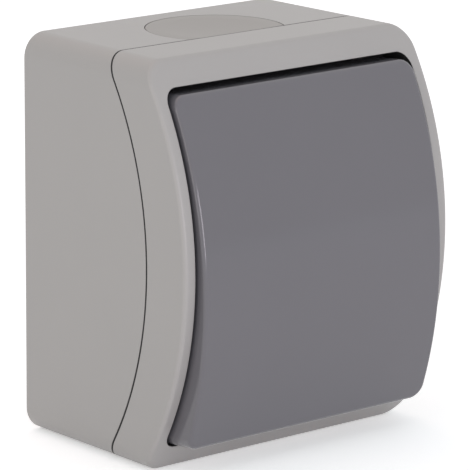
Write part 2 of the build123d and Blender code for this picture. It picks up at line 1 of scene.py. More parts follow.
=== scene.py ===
# %% [markdown]
# # A surface mounted light switch
# This lesson dresses a finished CAD model of a wall switch: an arched light grey housing in two
# halves, a dark grey rocker and a soft cable entry on top. The CAD parts stay where they are. What
# shows is modelled again with finer curves, and the rest gets its real finish.

# %% Load the frame
import json
import math

import bmesh
import bpy
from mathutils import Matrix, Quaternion, Vector


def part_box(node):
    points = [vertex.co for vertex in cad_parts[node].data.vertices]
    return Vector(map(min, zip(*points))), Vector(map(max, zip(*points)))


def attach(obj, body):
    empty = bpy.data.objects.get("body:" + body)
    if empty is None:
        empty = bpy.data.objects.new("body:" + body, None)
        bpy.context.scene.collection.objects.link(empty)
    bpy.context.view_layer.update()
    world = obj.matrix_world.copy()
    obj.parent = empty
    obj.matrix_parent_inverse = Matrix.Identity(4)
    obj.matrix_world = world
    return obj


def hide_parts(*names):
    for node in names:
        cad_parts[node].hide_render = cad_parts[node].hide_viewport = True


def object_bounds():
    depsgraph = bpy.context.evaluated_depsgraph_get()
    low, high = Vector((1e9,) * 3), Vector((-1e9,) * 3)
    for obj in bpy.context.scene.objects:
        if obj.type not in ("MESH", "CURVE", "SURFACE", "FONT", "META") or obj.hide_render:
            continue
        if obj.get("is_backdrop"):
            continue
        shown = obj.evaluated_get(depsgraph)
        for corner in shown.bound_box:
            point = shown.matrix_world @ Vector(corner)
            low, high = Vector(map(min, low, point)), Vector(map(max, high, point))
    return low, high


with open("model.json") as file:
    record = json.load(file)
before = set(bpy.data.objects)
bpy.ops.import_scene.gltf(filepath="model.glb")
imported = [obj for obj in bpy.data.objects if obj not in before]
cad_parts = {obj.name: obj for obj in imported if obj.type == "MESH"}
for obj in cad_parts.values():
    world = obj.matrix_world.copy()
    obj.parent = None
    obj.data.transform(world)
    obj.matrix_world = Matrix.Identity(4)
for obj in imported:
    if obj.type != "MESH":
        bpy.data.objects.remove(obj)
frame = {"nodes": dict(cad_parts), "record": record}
cad_low, cad_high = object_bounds()
print("CAD box in mm:", [round(v * 1000, 2) for v in (*cad_low, *cad_high)])

# %% [markdown]
# ## The camera
# A product photograph is taken from far away with a long lens, so that parallel edges stay nearly
# parallel. The switch is seen from the left and from a little above. The camera is placed by these
# angles around a point in the middle of the object.

# %% Place the camera
MM = 0.001
camera_azimuth = math.radians(-40.70)
camera_elevation = math.radians(13.52)
camera_roll = math.radians(0.33)
camera_distance = 782.4 * MM
camera_target = Vector((0.0, -25.0, -0.54)) * MM
camera_lens = 303.6

level = math.cos(camera_elevation)
view_back = Vector(
    (math.sin(camera_azimuth) * level, -math.cos(camera_azimuth) * level, math.sin(camera_elevation))
)
view_turn = view_back.to_track_quat("Z", "Y") @ Quaternion((0, 0, 1), camera_roll)
bpy.ops.object.camera_add(
    location=camera_target + view_back * camera_distance, rotation=view_turn.to_euler()
)
camera = bpy.context.object
camera.data.lens = camera_lens
bpy.context.scene.camera = camera
print("Camera at", [round(v, 3) for v in camera.location])

# %% [markdown]
# ## Sizes of the housing
# All the big forms are arched from top to bottom. Each arch is a circle seen from the side, given by
# its radius and by its depth in the middle, counted from the wall. Widths and heights come from the
# CAD boxes, so that the pieces seat exactly. The overcut is how far a cutting tool reaches past the
# face that it cuts, because a tool that ends in the face itself leaves a skin.

# %% Name the sizes
def box_size(node):
    """Width, depth and height of a CAD node."""
    low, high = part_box(node)
    return high - low


body_size = box_size("back_box")
cover_size = box_size("front_cover")

wall_width = 66.0 * MM
side_draft = math.radians(1.2)
body_corner = 4.8 * MM
flush_step = 0.04 * MM
body_height = cover_size.z - flush_step
box_wall = 2.4 * MM
rear_wall = 2.6 * MM
joint_gap = 0.5 * MM
parting_radius = 67.2 * MM
parting_mid = 38.42 * MM
front_radius = 68.8 * MM
front_mid = 50.1 * MM
overcut = 1 * MM
print("Body", [round(v / MM, 2) for v in body_size], "cover", [round(v / MM, 2) for v in cover_size])

# %% [markdown]
# ## Small tools
# A few steps return in every piece: deselect everything before a new shape, choose edges by a rule,
# cut one shape with another, and finish with clean normals. They are written once here.

# %% Write the small tools
near = 0.01 * MM
merge_distance = 0.002 * MM


def only(piece):
    """Select one object and make it active."""
    bpy.ops.object.select_all(action="DESELECT")
    piece.select_set(True)
    bpy.context.view_layer.objects.active = piece


def pick_edges(piece, rule):
    """Enter edit mode with just the edges selected that a rule accepts."""
    only(piece)
    bpy.ops.object.mode_set(mode="EDIT")
    bpy.ops.mesh.select_mode(type="EDGE")
    bpy.ops.mesh.select_all(action="DESELECT")
    shape = bmesh.from_edit_mesh(piece.data)
    for edge in shape.edges:
        edge.select = rule(edge)
    shape.select_flush_mode()
    bmesh.update_edit_mesh(piece.data)


def pick_faces(piece, rule):
    """Enter edit mode with just the faces selected that a rule accepts."""
    only(piece)
    bpy.ops.object.mode_set(mode="EDIT")
    bpy.ops.mesh.select_mode(type="FACE")
    bpy.ops.mesh.select_all(action="DESELECT")
    shape = bmesh.from_edit_mesh(piece.data)
    for face in shape.faces:
        face.select = rule(face)
    bmesh.update_edit_mesh(piece.data)


def leave_edit():
    """Go back to object mode."""
    bpy.ops.object.mode_set(mode="OBJECT")


def apply_modifier(piece, kind, **values):
    """Add a modifier, set its values and apply it."""
    only(piece)
    bpy.ops.object.modifier_add(type=kind)
    modifier = piece.modifiers[-1]
    for name, value in values.items():
        setattr(modifier, name, value)
    bpy.ops.object.modifier_apply(modifier=modifier.name)


def combine(piece, tool, operation):
    """Cut, join or intersect a piece with a tool, which is then thrown away."""
    apply_modifier(piece, "BOOLEAN", object=tool, operation=operation, solver="EXACT")
    bpy.data.objects.remove(tool)


def settle(piece):
    """Put a piece's place, turn and scale into its mesh."""
    only(piece)
    bpy.ops.object.transform_apply(location=True, rotation=True, scale=True)


# %% [markdown]
# ## Blocks and drums
# The housing starts as a block with round corners, and the arches start as flat faces. A block is a
# cube whose depth edges are bevelled in edit mode. Bevelling before the block is arched keeps every
# strip of the bevel even.

# %% Write the block tool
def depth_edge(edge):
    """True for an edge that runs mostly from the wall to the room."""
    run = edge.verts[0].co - edge.verts[1].co
    return abs(run.y) > 0.9 * run.length


def faces_room(face):
    """True for a face that looks mostly towards the room."""
    return face.normal.y < -0.5


def block(name, width, height, rear, front, corner, segments=12):
    """Block between two depths with round depth edges."""
    bpy.ops.object.select_all(action="DESELECT")
    bpy.ops.mesh.primitive_cube_add(size=1, location=(0, -(rear + front) / 2, 0))
    piece = bpy.context.object
    piece.name = name
    piece.data.name = name
    piece.scale = (width, front - rear, height)
    settle(piece)
    if corner:
        pick_edges(piece, depth_edge)
        bpy.ops.mesh.bevel(offset=corner, segments=segments, affect="EDGES", clamp_overlap=False)
        leave_edit()
    return piece


def rod(name, radius, start, end, sides=96):
    """Round rod between two points."""
    start, end = Vector(start), Vector(end)
    bpy.ops.object.select_all(action="DESELECT")
    turn = (end - start).to_track_quat("Z", "Y").to_euler()
    bpy.ops.mesh.primitive_cylinder_add(
        vertices=sides, radius=radius, depth=(end - start).length, location=(start + end) / 2, rotation=turn
    )
    piece = bpy.context.object
    piece.name = name
    piece.data.name = name
    settle(piece)
    return piece


# %% [markdown]
# ## Arching a flat shape
# A lattice is a soft cage. Its rows are moved by the rise of the arch at their height, and the shape
# inside follows. First the shape is bisected into level rows, because a face without rows can't
# bend. The cage has two layers in depth, so the back and the front can follow different arches.

# %% Write the arching tool
row_height = 1.25 * MM
cage_rows = 41
cage_margin = 1.12
cage_width = 100 * MM


def rise(radius, height):
    """How far a circle has fallen back at a height above its middle."""
    return radius - math.sqrt(radius**2 - height**2)


def add_rows(piece, top):
    """Bisect a shape into level rows."""
    only(piece)
    bpy.ops.object.mode_set(mode="EDIT")
    count = int(top / row_height)
    for row in range(-count, count + 1):
        bpy.ops.mesh.select_all(action="SELECT")
        bpy.ops.mesh.bisect(plane_co=(0, 0, row * row_height), plane_no=(0, 0, 1))
    leave_edit()


def arch_shape(piece, rear, front, rear_radius, front_radius, top, rear_draft=0.0, front_draft=0.0):
    """Bend the rear and front of a flat shape to their arches. A radius of None stays flat.

    A draft narrows that layer by this share of its width for each metre that it falls back.
    """
    add_rows(piece, top)
    cage_height = 2 * top * cage_margin
    bpy.ops.object.select_all(action="DESELECT")
    bpy.ops.object.add(type="LATTICE", location=(0, -(rear + front) / 2, 0))
    cage = bpy.context.object
    cage.scale = (cage_width, front - rear, cage_height)
    cage.data.points_u = 2
    cage.data.points_v = 2
    cage.data.points_w = cage_rows
    cage.data.interpolation_type_u = "KEY_LINEAR"
    cage.data.interpolation_type_v = "KEY_LINEAR"
    cage.data.interpolation_type_w = "KEY_CATMULL_ROM"
    for point in cage.data.points:
        radius, draft = (front_radius, front_draft) if point.co.y < 0 else (rear_radius, rear_draft)
        if radius is None:
            continue
        fall = rise(radius, point.co.z * cage_height)
        point.co_deform.y += fall / (front - rear)
        point.co_deform.x *= 1 - fall * draft
    apply_modifier(piece, "LATTICE", object=cage)
    bpy.data.objects.remove(cage)
    return piece


def smooth_finish(piece, angle=35):
    """Merge doubles, shade smoothly up to an angle and let the large faces rule the normals."""
    only(piece)
    bpy.ops.object.mode_set(mode="EDIT")
    bpy.ops.mesh.select_all(action="SELECT")
    bpy.ops.mesh.remove_doubles(threshold=merge_distance)
    bpy.ops.mesh.normals_make_consistent(inside=False)
    leave_edit()
    bpy.ops.object.shade_smooth_by_angle(angle=math.radians(angle))
    apply_modifier(piece, "WEIGHTED_NORMAL", keep_sharp=True, weight=60)
    print(piece.name, "has", len(piece.data.polygons), "faces")
    return piece


# %% [markdown]
# ## The front cover
# The cover is an arched frame round the rocker. On the real switch it is one moulding with soft outer
# edges and a crisp edge at the opening. It is cut flat, its edges are rounded while they are still
# straight, and then the whole frame is arched.

# %% Model the frame of the cover
opening_width = 62.4 * MM
opening_height = 70.22 * MM
opening_corner = 3.0 * MM
front_edge = 0.9 * MM
front_inset = 0.05 * MM
opening_edge = 0.25 * MM
corner_angle = 0.6
cover_rear = parting_mid + joint_gap
cover_radius = parting_radius + joint_gap

draft_slope = math.tan(side_draft)
rear_half = wall_width / 2 + cover_rear * draft_slope + flush_step / 2
front_half = cover_size.x / 2 - front_inset
cover = block("front_cover_shell", 2 * rear_half, cover_size.z, cover_rear, front_mid, 0)
pick_faces(cover, faces_room)
bpy.ops.transform.resize(value=(front_half / rear_half, 1, 1))
leave_edit()
pick_edges(cover, depth_edge)
bpy.ops.mesh.bevel(offset=body_corner, segments=12, affect="EDGES", clamp_overlap=False)
leave_edit()
opening = block(
    "opening_tool",
    opening_width,
    opening_height,
    cover_rear - 5 * overcut,
    front_mid + 5 * overcut,
    opening_corner,
)
combine(cover, opening, "DIFFERENCE")


def at_front(edge, depth):
    """True for an edge that lies on the front face."""
    return all(abs(v.co.y + depth) < near for v in edge.verts)


def inside_opening(edge):
    """True for an edge on the border of the opening."""
    return all(
        abs(v.co.x) < opening_width / 2 + near and abs(v.co.z) < opening_height / 2 + near
        for v in edge.verts
    )


def sharp(edge):
    """True where two faces meet at a corner."""
    return len(edge.link_faces) == 2 and edge.calc_face_angle() > corner_angle


pick_edges(cover, lambda e: sharp(e) and at_front(e, front_mid) and not inside_opening(e))
bpy.ops.mesh.bevel(offset=front_edge, segments=6, affect="EDGES", clamp_overlap=False)
leave_edit()
pick_edges(cover, lambda e: sharp(e) and at_front(e, front_mid) and inside_opening(e))
bpy.ops.mesh.bevel(offset=opening_edge, segments=3, affect="EDGES", clamp_overlap=False)
leave_edit()
arch_shape(
    cover,
    cover_rear,
    front_mid,
    cover_radius,
    front_radius,
    cover_size.z / 2,
    rear_draft=draft_slope / rear_half,
)

# %% [markdown]
# Behind the rocker the cover goes on as an arched web with a window for the mechanism. Four bosses in
# it take the screws. They are hidden, but they close the view into the gap round the rocker. The
# bite is the share of a wall's thickness that a piece joined to it reaches into, so that the two
# overlap before they are made one.

# %% Model the web of the cover
web_thickness = 1.8 * MM
web_rear = body_size.y + 1.0 * MM
web_front = web_rear + web_thickness
web_radius = 67.2 * MM
web_overlap = 1.6 * MM
window_width = 44 * MM
window_height = 48 * MM
window_corner = 3.6 * MM
screw_places = [(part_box(f"cover_screw_{n}")[0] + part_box(f"cover_screw_{n}")[1]) / 2 for n in range(1, 5)]
boss_radius = 4.6 * MM
screw_pass = 1.9 * MM
screw_head = 3.3 * MM
boss_rear = 29.9 * MM
boss_seat = 31.6 * MM
bite = 0.8

web = block(
    "cover_web",
    opening_width + web_overlap,
    opening_height + web_overlap,
    web_rear,
    web_front,
    opening_corner,
)
window = block(
    "window_tool", window_width, window_height, web_rear - overcut, front_mid, window_corner
)
combine(web, window, "DIFFERENCE")
arch_shape(web, web_rear, web_front, web_radius, web_radius + web_thickness, cover_size.z / 2)
for place in screw_places:
    web_depth = web_rear - rise(web_radius, abs(place.z)) + web_thickness * bite
    boss = rod("boss", boss_radius, (place.x, -boss_rear, place.z), (place.x, -web_depth, place.z))
    combine(web, boss, "UNION")
    hole = rod("hole", screw_pass, (place.x, -boss_rear + overcut, place.z), (place.x, -front_mid, place.z))
    combine(web, hole, "DIFFERENCE")
    seat = rod("seat", screw_head, (place.x, -boss_seat, place.z), (place.x, -front_mid, place.z))
    combine(web, seat, "DIFFERENCE")
only(cover)
web.select_set(True)
bpy.ops.object.join()
smooth_finish(cover)

# %% [markdown]
# ## The back box
# The back box is a tub whose sides widen a little towards the room, so that it leaves its mould. Its
# rim follows the same arch as the cover. The tub is arched first, and then hollowed and drilled with
# straight tools, because walls and holes are straight on the real one.

# %% Model the back box
rim_half = wall_width / 2 + parting_mid * draft_slope
rear_edge = 0.3 * MM
draft_allowance = 0.6 * MM

box = block("back_box_shell", wall_width, body_height, 0, parting_mid, 0)
pick_faces(box, faces_room)
bpy.ops.transform.resize(value=(2 * rim_half / wall_width, 1, 1))
leave_edit()
pick_edges(box, depth_edge)
bpy.ops.mesh.bevel(offset=body_corner, segments=12, affect="EDGES", clamp_overlap=False)
leave_edit()
pick_edges(box, lambda e: sharp(e) and at_front(e, 0))
bpy.ops.mesh.bevel(offset=rear_edge, segments=3, affect="EDGES", clamp_overlap=False)
leave_edit()
arch_shape(
    box, 0, parting_mid, None, parting_radius, body_height / 2, front_draft=draft_slope / rim_half
)

hollow = block(
    "hollow_tool",
    wall_width - 2 * box_wall + draft_allowance,
    body_height - 2 * box_wall,
    rear_wall,
    parting_mid + 5 * overcut,
    body_corner - box_wall,
)
combine(box, hollow, "DIFFERENCE")

# %% [markdown]
# The cable entries are round openings in the top and bottom wall, open towards the rim. A soft disc
# slides into each from the front before the cover is put on. Two screw holes in the back hold the
# switch to the wall.

# %% Cut the entries and the screw holes
disc_low, disc_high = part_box("top_entry_disc")
entry_radius = (disc_high.x - disc_low.x) / 2
entry_depth = -disc_high.y + entry_radius
entry_gap = 0.14 * MM
entry_recess = 1.1 * MM
entry_seat = 1.6 * MM
entry_hole = entry_radius - entry_seat
entry_sides = 160
body_top = body_height / 2
wall_hole_radius = 2.25 * MM
wall_hole_place = 30 * MM
wall_hole_end = 6 * MM
collar_wall = 2.3 * MM
collar_front = 4.4 * MM

for side in (1, -1):
    face = (0, -entry_depth, side * (body_top + overcut))
    bottom = (0, -entry_depth, side * (body_top - entry_recess))
    inner = (0, -entry_depth, side * (body_top - box_wall - overcut))
    combine(box, rod("recess", entry_radius + entry_gap, bottom, face, entry_sides), "DIFFERENCE")
    combine(box, rod("entry", entry_hole, inner, face, entry_sides), "DIFFERENCE")
for side in (1, -1):
    place = side * wall_hole_place
    radius = wall_hole_radius + collar_wall
    combine(box, rod("collar", radius, (0, -overcut, place), (0, -collar_front, place)), "UNION")
    hole = rod("hole", wall_hole_radius, (0, overcut, place), (0, -wall_hole_end, place))
    combine(box, hole, "DIFFERENCE")

# %% [markdown]
# Inside the tub stand four long bosses for the cover screws and two short ones for the mechanism.
# They seat the parts that can be seen when the cover is taken off.

# %% Add the bosses inside the box
boss_wall_radius = 3.56 * MM
boss_sides = 64
boss_front = 29.8 * MM
thread_radius = 1.56 * MM
thread_sides = 48
long_thread = (18 * MM, 32 * MM)
short_thread_end = 3.5 * MM
mechanism_rear = -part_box("mechanism_base")[1].y


def add_boss(x, z, front, thread_end, thread_start):
    """Boss on the rear wall of the tub, with a bore for a thread."""
    boss = rod("boss", boss_wall_radius, (x, -overcut, z), (x, -front, z), boss_sides)
    combine(box, boss, "UNION")
    bore = rod("bore", thread_radius, (x, -thread_end, z), (x, -thread_start, z), thread_sides)
    combine(box, bore, "DIFFERENCE")


for place in screw_places:
    add_boss(place.x, place.z, boss_front, *long_thread)
for number in (1, 2):
    low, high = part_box(f"mechanism_screw_{number}")
    middle = (low.x + high.x) / 2
    add_boss(middle, 0, mechanism_rear, short_thread_end, mechanism_rear + 2 * overcut)
smooth_finish(box)

# %% [markdown]
# ## The gasket
# A thin ring of dark foam fills the joint between the two halves and ends just inside their faces. It
# is what makes the joint read as one thin black line. It has the outline of the rim and is arched
# between the rim and the cover.

# %% Model the gasket
gasket_inset = 0.06 * MM
gasket_width = 2.0 * MM
gasket_play = 0.01 * MM

gasket = block(
    "gasket_ring",
    2 * (rim_half - gasket_inset),
    body_height - 2 * gasket_inset,
    parting_mid + gasket_play,
    cover_rear - gasket_play,
    body_corner - gasket_inset,
)
combine(
    gasket,
    block(
        "gasket_tool",
        2 * (rim_half - gasket_width),
        body_height - 2 * gasket_width,
        parting_mid - overcut,
        cover_rear + overcut,
        body_corner - gasket_width,
    ),
    "DIFFERENCE",
)
arch_shape(
    gasket,
    parting_mid + gasket_play,
    cover_rear - gasket_play,
    parting_radius + gasket_play,
    cover_radius - gasket_play,
    body_height / 2,
    rear_draft=draft_slope / rim_half,
    front_draft=draft_slope / rim_half,
)
smooth_finish(gasket)

# %% [markdown]
# ## The rocker
# The rocker is a dark arched shell with straight skirts. It is modelled level, with its pivot at the
# middle, then hollowed from behind, arched and tilted, because the photographed switch has its top
# pressed in.

# %% Model the rocker
pivot_depth = 43 * MM
key_tilt = math.radians(-4)
key_width = 61.08 * MM
key_height = 68.42 * MM
key_drop = 0.3 * MM
key_corner = 2.8 * MM
key_crest = 9 * MM
key_radius = 83.5 * MM
rim_mid = 0.6 * MM
rim_radius = 86.3 * MM
key_edge = 0.8 * MM
key_skirt = 1.6 * MM
key_front_wall = 2.0 * MM

key = block("rocker_key_shell", key_width, key_height, rim_mid, key_crest, key_corner)
pick_edges(key, lambda e: sharp(e) and at_front(e, key_crest))
bpy.ops.mesh.bevel(offset=key_edge, segments=6, affect="EDGES", clamp_overlap=False)
leave_edit()
inner = block(
    "key_hollow",
    key_width - 2 * key_skirt,
    key_height - 2 * key_skirt,
    rim_mid - 2 * overcut,
    key_crest - key_front_wall,
    key_corner - key_skirt,
)
combine(key, inner, "DIFFERENCE")
key.location.z = -key_drop
settle(key)
arch_shape(key, rim_mid, key_crest, rim_radius, key_radius, key_height / 2 + key_drop)

# %% [markdown]
# A socket behind the front holds the cradle that carries the rocker on its pivot. Its four walls are
# one square tube, and two ribs above and below keep the front stiff.

# %% Add the socket and the ribs
cradle_low, cradle_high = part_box("rocker_cradle")
socket_play = 0.2 * MM
socket_width = cradle_high.x - cradle_low.x + socket_play
socket_height = 27.2 * MM
socket_wall = 1.4 * MM
socket_rear = 1.6 * MM
socket_front = key_crest - key_front_wall * bite
rib_places = (21.5 * MM, 27.5 * MM)
rib_thickness = 1.2 * MM
rib_depth = 2 * MM

socket = block(
    "socket",
    socket_width + 2 * socket_wall,
    socket_height + 2 * socket_wall,
    socket_rear,
    socket_front - rise(key_radius, socket_height / 2 + socket_wall),
    0,
)
combine(socket, block("socket_tool", socket_width, socket_height, 0, 2 * key_crest, 0), "DIFFERENCE")
pieces = [socket]
for side in (1, -1):
    for place in rib_places:
        rib_front = socket_front - rise(key_radius, place + rib_thickness / 2)
        rib = block("rib", key_width - key_skirt, rib_thickness, rib_front - rib_depth, rib_front, 0)
        rib.location.z = side * place
        settle(rib)
        pieces.append(rib)
only(key)
for piece in pieces:
    piece.select_set(True)
bpy.ops.object.join()
key.location = (0, -pivot_depth, 0)
key.rotation_euler = (key_tilt, 0, 0)
settle(key)
smooth_finish(key)

# %% [markdown]
# ## The cable entry discs
# Each entry is a soft plug with a shallow dish on the outside, where the membrane is thin and can be
# pierced for a cable. It starts as a cylinder. Its outer face is inset ring by ring, and each ring is
# lowered a little, until the dish is round. The outer face is the only large one that looks that
# way, so it is picked by its area in square metres. Last the front is cut to the arch of the rim.

# %% Model the entry discs
dish_lip = 2.4 * MM
dish_radius = entry_radius - dish_lip
dish_depth = 0.55 * MM
dish_rings = 10
lip_edge = 0.18 * MM
plug_depth = 3.7 * MM
neck_overlap = 0.2 * MM
neck_sides = 96
dish_area = 1e-5


def entry_disc(side):
    """Soft plug for the entry in the top wall (1) or the bottom wall (-1)."""
    name = "top_entry_plug" if side > 0 else "bottom_entry_plug"
    outer = side * body_top
    rear = outer - side * entry_recess
    plug = rod(name, entry_radius, (0, -entry_depth, rear), (0, -entry_depth, outer), entry_sides)
    pick_edges(plug, lambda e: sharp(e) and all(abs(v.co.z - outer) < near for v in e.verts))
    bpy.ops.mesh.bevel(offset=lip_edge, segments=3, affect="EDGES", clamp_overlap=False)
    leave_edit()
    pick_faces(plug, lambda f: f.normal.z * side > 0.99 and f.calc_area() > dish_area)
    bpy.ops.mesh.inset(thickness=entry_radius - lip_edge - dish_radius)
    ring = dish_radius / dish_rings
    for step in range(1, dish_rings):
        start = 1 - ((step - 1) / dish_rings)
        end = 1 - step / dish_rings
        drop = dish_depth * (start**2 - end**2)
        bpy.ops.mesh.inset(thickness=ring)
        bpy.ops.transform.translate(value=(0, 0, -side * drop))
    leave_edit()
    neck = rod(
        "neck",
        entry_hole - entry_gap,
        (0, -entry_depth, outer - side * plug_depth),
        (0, -entry_depth, outer - side * (entry_recess - neck_overlap)),
        neck_sides,
    )
    combine(plug, neck, "UNION")
    tool_rear = -10 * overcut
    tool_width = 2 * entry_radius + 4 * overcut
    tool_height = 2 * (body_top + overcut)
    arch_tool = block("arch_tool", tool_width, tool_height, tool_rear, parting_mid, 0)
    arch_shape(arch_tool, tool_rear, parting_mid, None, parting_radius, tool_height / 2)
    combine(plug, arch_tool, "INTERSECT")
    return smooth_finish(plug)


top_plug = entry_disc(1)
bottom_plug = entry_disc(-1)

# %% [markdown]
# ## Who stands for what
# Each new piece hides the CAD node that it copies, rides on that node's body and takes its finish
# from that node's slot in the record.

# %% Tie the pieces to the frame
stand_for = [
    (cover, "front_cover", "base", "housing_grey"),
    (box, "back_box", "base", "housing_grey"),
    (gasket, "cover_gasket", "base", "gasket_dark"),
    (top_plug, "top_entry_disc", "base", "entry_soft_grey"),
    (bottom_plug, "bottom_entry_disc", "base", "entry_soft_grey"),
    (key, "rocker_key", "rocker", "rocker_dark_grey"),
]
for piece, node, body, slot in stand_for:
    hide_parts(node)
    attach(piece, body)
    print(piece.name, "stands for", node)

# %% [markdown]
# ## A shared effect for moulded plastic
# A moulded surface is never quite even. A fine grain from the mould breaks up the reflection, and wide
# soft clouds change the gloss a little. Both are made once as a node group, and every plastic takes
# them with its own values.

# %% Build the moulded surface group
def group_socket(tree, name, kind, way, value=None):
    """Add one input or output to a node group."""
    socket = tree.interface.new_socket(name=name, in_out=way, socket_type=kind)
    if value is not None:
        socket.default_value = value
    return socket


def moulded_group():
    """Node group that gives a moulded surface its cloudy colour, gloss and grain."""
    tree = bpy.data.node_groups.new("moulded_surface", "ShaderNodeTree")
    group_socket(tree, "Colour", "NodeSocketColor", "INPUT", (0.5, 0.5, 0.5, 1))
    group_socket(tree, "Cloud Amount", "NodeSocketFloat", "INPUT", 0.03)
    group_socket(tree, "Gloss Low", "NodeSocketFloat", "INPUT", 0.4)
    group_socket(tree, "Gloss High", "NodeSocketFloat", "INPUT", 0.5)
    group_socket(tree, "Grain Size", "NodeSocketFloat", "INPUT", 4000.0)
    group_socket(tree, "Grain Strength", "NodeSocketFloat", "INPUT", 0.05)
    group_socket(tree, "Colour", "NodeSocketColor", "OUTPUT")
    group_socket(tree, "Roughness", "NodeSocketFloat", "OUTPUT")
    group_socket(tree, "Normal", "NodeSocketVector", "OUTPUT")
    nodes, links = tree.nodes, tree.links
    inputs = nodes.new("NodeGroupInput")
    outputs = nodes.new("NodeGroupOutput")
    place = nodes.new("ShaderNodeTexCoord")
    cloud = nodes.new("ShaderNodeTexNoise")
    cloud.inputs["Scale"].default_value = 45
    cloud.inputs["Detail"].default_value = 3
    grain = nodes.new("ShaderNodeTexNoise")
    grain.inputs["Detail"].default_value = 2
    darker = nodes.new("ShaderNodeMix")
    darker.data_type = "RGBA"
    darker.blend_type = "MULTIPLY"
    shade = nodes.new("ShaderNodeMapRange")
    shade.inputs["To Min"].default_value = 0.86
    shade.inputs["To Max"].default_value = 1.0
    gloss = nodes.new("ShaderNodeMapRange")
    bump = nodes.new("ShaderNodeBump")
    bump.inputs["Distance"].default_value = 0.00002
    links.new(place.outputs["Object"], cloud.inputs["Vector"])
    links.new(place.outputs["Object"], grain.inputs["Vector"])
    links.new(inputs.outputs["Grain Size"], grain.inputs["Scale"])
    links.new(cloud.outputs["Fac"], shade.inputs["Value"])
    links.new(inputs.outputs["Cloud Amount"], darker.inputs["Factor"])
    links.new(inputs.outputs["Colour"], darker.inputs["A"])
    links.new(shade.outputs["Result"], darker.inputs["B"])
    links.new(cloud.outputs["Fac"], gloss.inputs["Value"])
    links.new(inputs.outputs["Gloss Low"], gloss.inputs["To Min"])
    links.new(inputs.outputs["Gloss High"], gloss.inputs["To Max"])
    links.new(grain.outputs["Fac"], bump.inputs["Height"])
    links.new(inputs.outputs["Grain Strength"], bump.inputs["Strength"])
    links.new(darker.outputs["Result"], outputs.inputs["Colour"])
    links.new(gloss.outputs["Result"], outputs.inputs["Roughness"])
    links.new(bump.outputs["Normal"], outputs.inputs["Normal"])
    return tree


moulded = moulded_group()
print("Group", moulded.name, "has", len(moulded.nodes), "nodes")

# %% [markdown]
# ## The plastics
# The housing is a satin light grey, the rocker a smoother dark grey that mirrors its surroundings
# softly, and the entries a matt soft grade of nearly the same grey. Colours are written as they look
# on a screen and turned into linear light.

# %% Make the plastics
def screen_colour(red, green, blue):
    """Linear colour of a screen colour from 0 to 255."""
    def linear(value):
        part = value / 255
        return part / 12.92 if part <= 0.04045 else ((part + 0.055) / 1.055) ** 2.4

    return (linear(red), linear(green), linear(blue), 1)


def plastic(name, colour, gloss, grain_strength, grain_size=4500.0, cloud=0.4):
    """Moulded plastic with a satin surface."""
    material = bpy.data.materials.new(name)
    material.use_nodes = True
    tree = material.node_tree
    shader = tree.nodes["Principled BSDF"]
    surface = tree.nodes.new("ShaderNodeGroup")
    surface.node_tree = moulded
    surface.inputs["Colour"].default_value = colour
    surface.inputs["Cloud Amount"].default_value = cloud
    surface.inputs["Gloss Low"].default_value = gloss[0]
    surface.inputs["Gloss High"].default_value = gloss[1]
    surface.inputs["Grain Size"].default_value = grain_size
    surface.inputs["Grain Strength"].default_value = grain_strength
    tree.links.new(surface.outputs["Colour"], shader.inputs["Base Color"])
    tree.links.new(surface.outputs["Roughness"], shader.inputs["Roughness"])
    tree.links.new(surface.outputs["Normal"], shader.inputs["Normal"])
    return material


housing_grey = plastic("housing_grey", screen_colour(170, 167, 165), (0.36, 0.44), 0.10)
entry_grey = plastic("entry_soft_grey", screen_colour(168, 165, 162), (0.55, 0.65), 0.16)
rocker_grey = plastic("rocker_dark_grey", screen_colour(108, 106, 111), (0.10, 0.13), 0.02)
# The same dark gasket colour is used again further down as painted shade in the gap round the rocker.
gasket_dark_and_painted_shade = plastic("gasket_dark", screen_colour(34, 34, 35), (0.8, 0.9), 0.5, 2500.0)
mechanism_white = plastic("mechanism_white", screen_colour(226, 224, 216), (0.38, 0.48), 0.10)
cradle_grey = plastic("cradle_grey", screen_colour(150, 150, 152), (0.4, 0.5), 0.10)
plunger_natural = plastic("plunger_natural", screen_colour(222, 216, 200), (0.3, 0.4), 0.05)

# %% [markdown]
# ## The metals
# The terminals and strips are stamped brass, the screws are zinc plated steel and the contacts have
# silver faces. Stamping and turning leave fine scratches, so a stretched noise roughens the metal.

# %% Make the metals
def metal(name, colour, gloss, stretch):
    """Metal with fine tool marks that run one way."""
    material = bpy.data.materials.new(name)
    material.use_nodes = True
    tree = material.node_tree
    shader = tree.nodes["Principled BSDF"]
    shader.inputs["Metallic"].default_value = 1
    place = tree.nodes.new("ShaderNodeTexCoord")
    spread = tree.nodes.new("ShaderNodeMapping")
    spread.inputs["Scale"].default_value = stretch
    marks = tree.nodes.new("ShaderNodeTexNoise")
    marks.inputs["Scale"].default_value = 900
    marks.inputs["Detail"].default_value = 4
    gloss_range = tree.nodes.new("ShaderNodeMapRange")
    gloss_range.inputs["To Min"].default_value = gloss[0]
    gloss_range.inputs["To Max"].default_value = gloss[1]
    tint = tree.nodes.new("ShaderNodeMix")
    tint.data_type = "RGBA"
    tint.inputs["A"].default_value = tuple(0.8 * c for c in colour[:3]) + (1,)
    tint.inputs["B"].default_value = colour
    bump = tree.nodes.new("ShaderNodeBump")
    bump.inputs["Distance"].default_value = 0.00001
    bump.inputs["Strength"].default_value = 0.3
    tree.links.new(place.outputs["Object"], spread.inputs["Vector"])
    tree.links.new(spread.outputs["Vector"], marks.inputs["Vector"])
    tree.links.new(marks.outputs["Fac"], gloss_range.inputs["Value"])
    tree.links.new(marks.outputs["Fac"], tint.inputs["Factor"])
    tree.links.new(marks.outputs["Fac"], bump.inputs["Height"])
    tree.links.new(tint.outputs["Result"], shader.inputs["Base Color"])
    tree.links.new(gloss_range.outputs["Result"], shader.inputs["Roughness"])
    tree.links.new(bump.outputs["Normal"], shader.inputs["Normal"])
    return material


